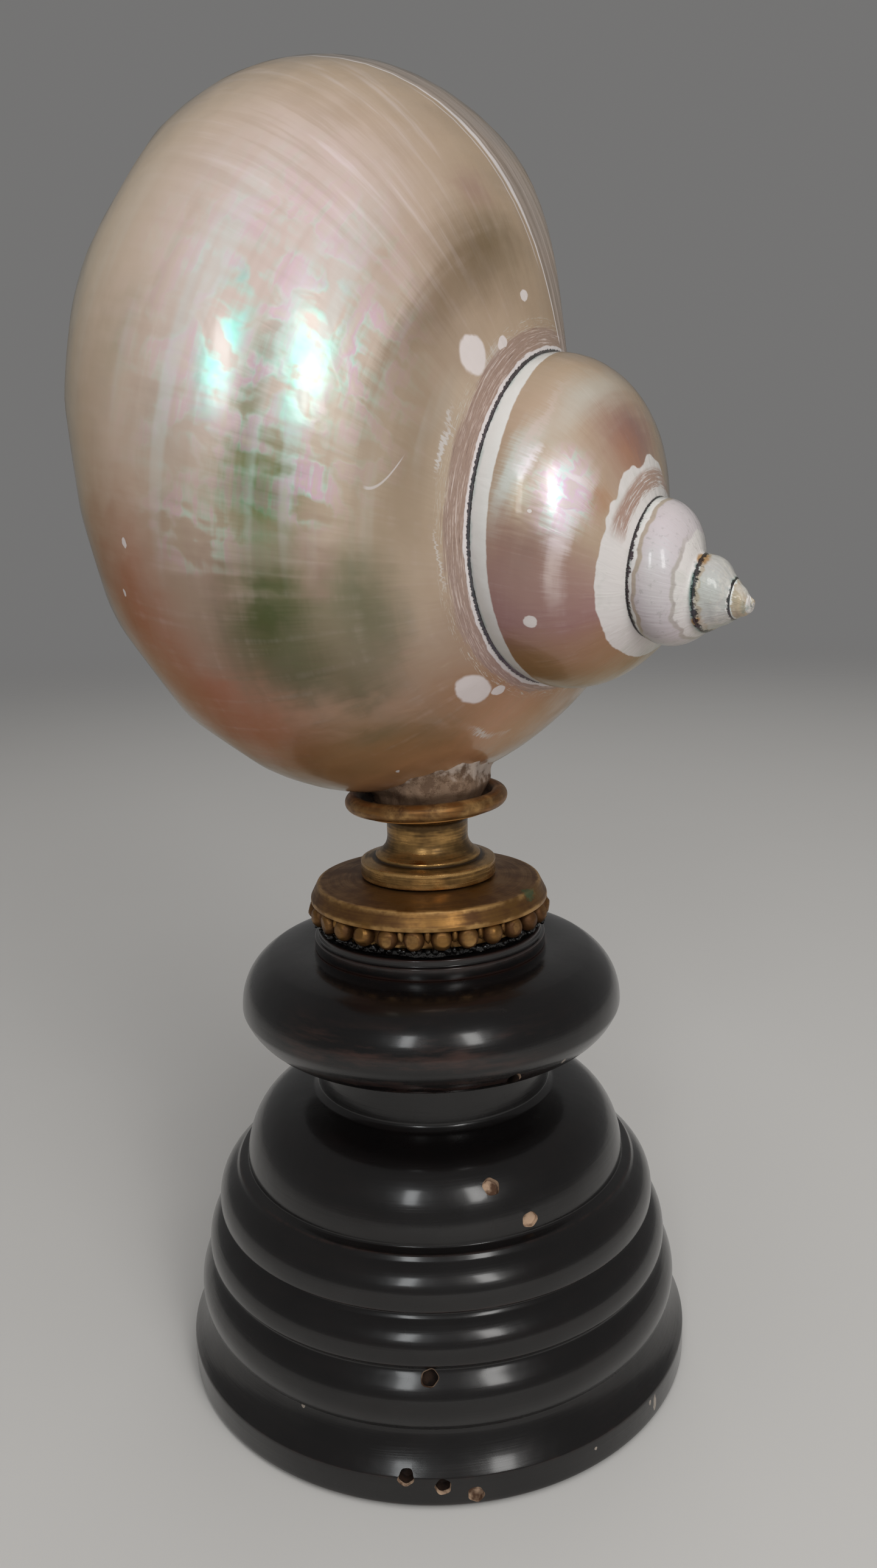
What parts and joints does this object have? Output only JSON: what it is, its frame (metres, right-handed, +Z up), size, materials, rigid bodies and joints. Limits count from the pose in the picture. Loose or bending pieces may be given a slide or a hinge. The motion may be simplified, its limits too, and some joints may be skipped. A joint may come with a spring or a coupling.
{
  "type": "polished turbo shell on turned stand",
  "caption": "Polished pearly turbo sea shell with a short stepped spire, cemented into a small rolled brass cup on a waisted spool and beaded disc, standing on a turned black wooden base.",
  "frame": {"origin": "centre of the flat underside of the wooden stand, where the part rests", "axes": "+Z up through the stand, -Y toward the side that the picture shows, +X toward the side the spire points to"},
  "size_m": [0.081, 0.0754, 0.1684],
  "materials": {
    "ebonised_wood": "black stained and waxed, glossy and worn, with reddish-brown rubbing and a few flight holes",
    "black_pitch": "shiny black pitch with a crumbled edge",
    "aged_brass": "aged brass with dark patina in the recesses, bright worn edges and a little verdigris",
    "pale_cement": "matt greyish-white cement with a lumpy edge",
    "nacre": "polished mother of pearl, champagne with pink, green and cyan sheen and a white porcelain band along the suture"
  },
  "bodies": {
    "root": {"wooden_stand": "ebonised_wood", "pitch_bed": "black_pitch", "beaded_disc": "aged_brass", "brass_spool": "aged_brass", "brass_cup": "aged_brass", "cement_bed": "pale_cement", "turbo_shell": "nacre"}
  },
  "joints": []
}
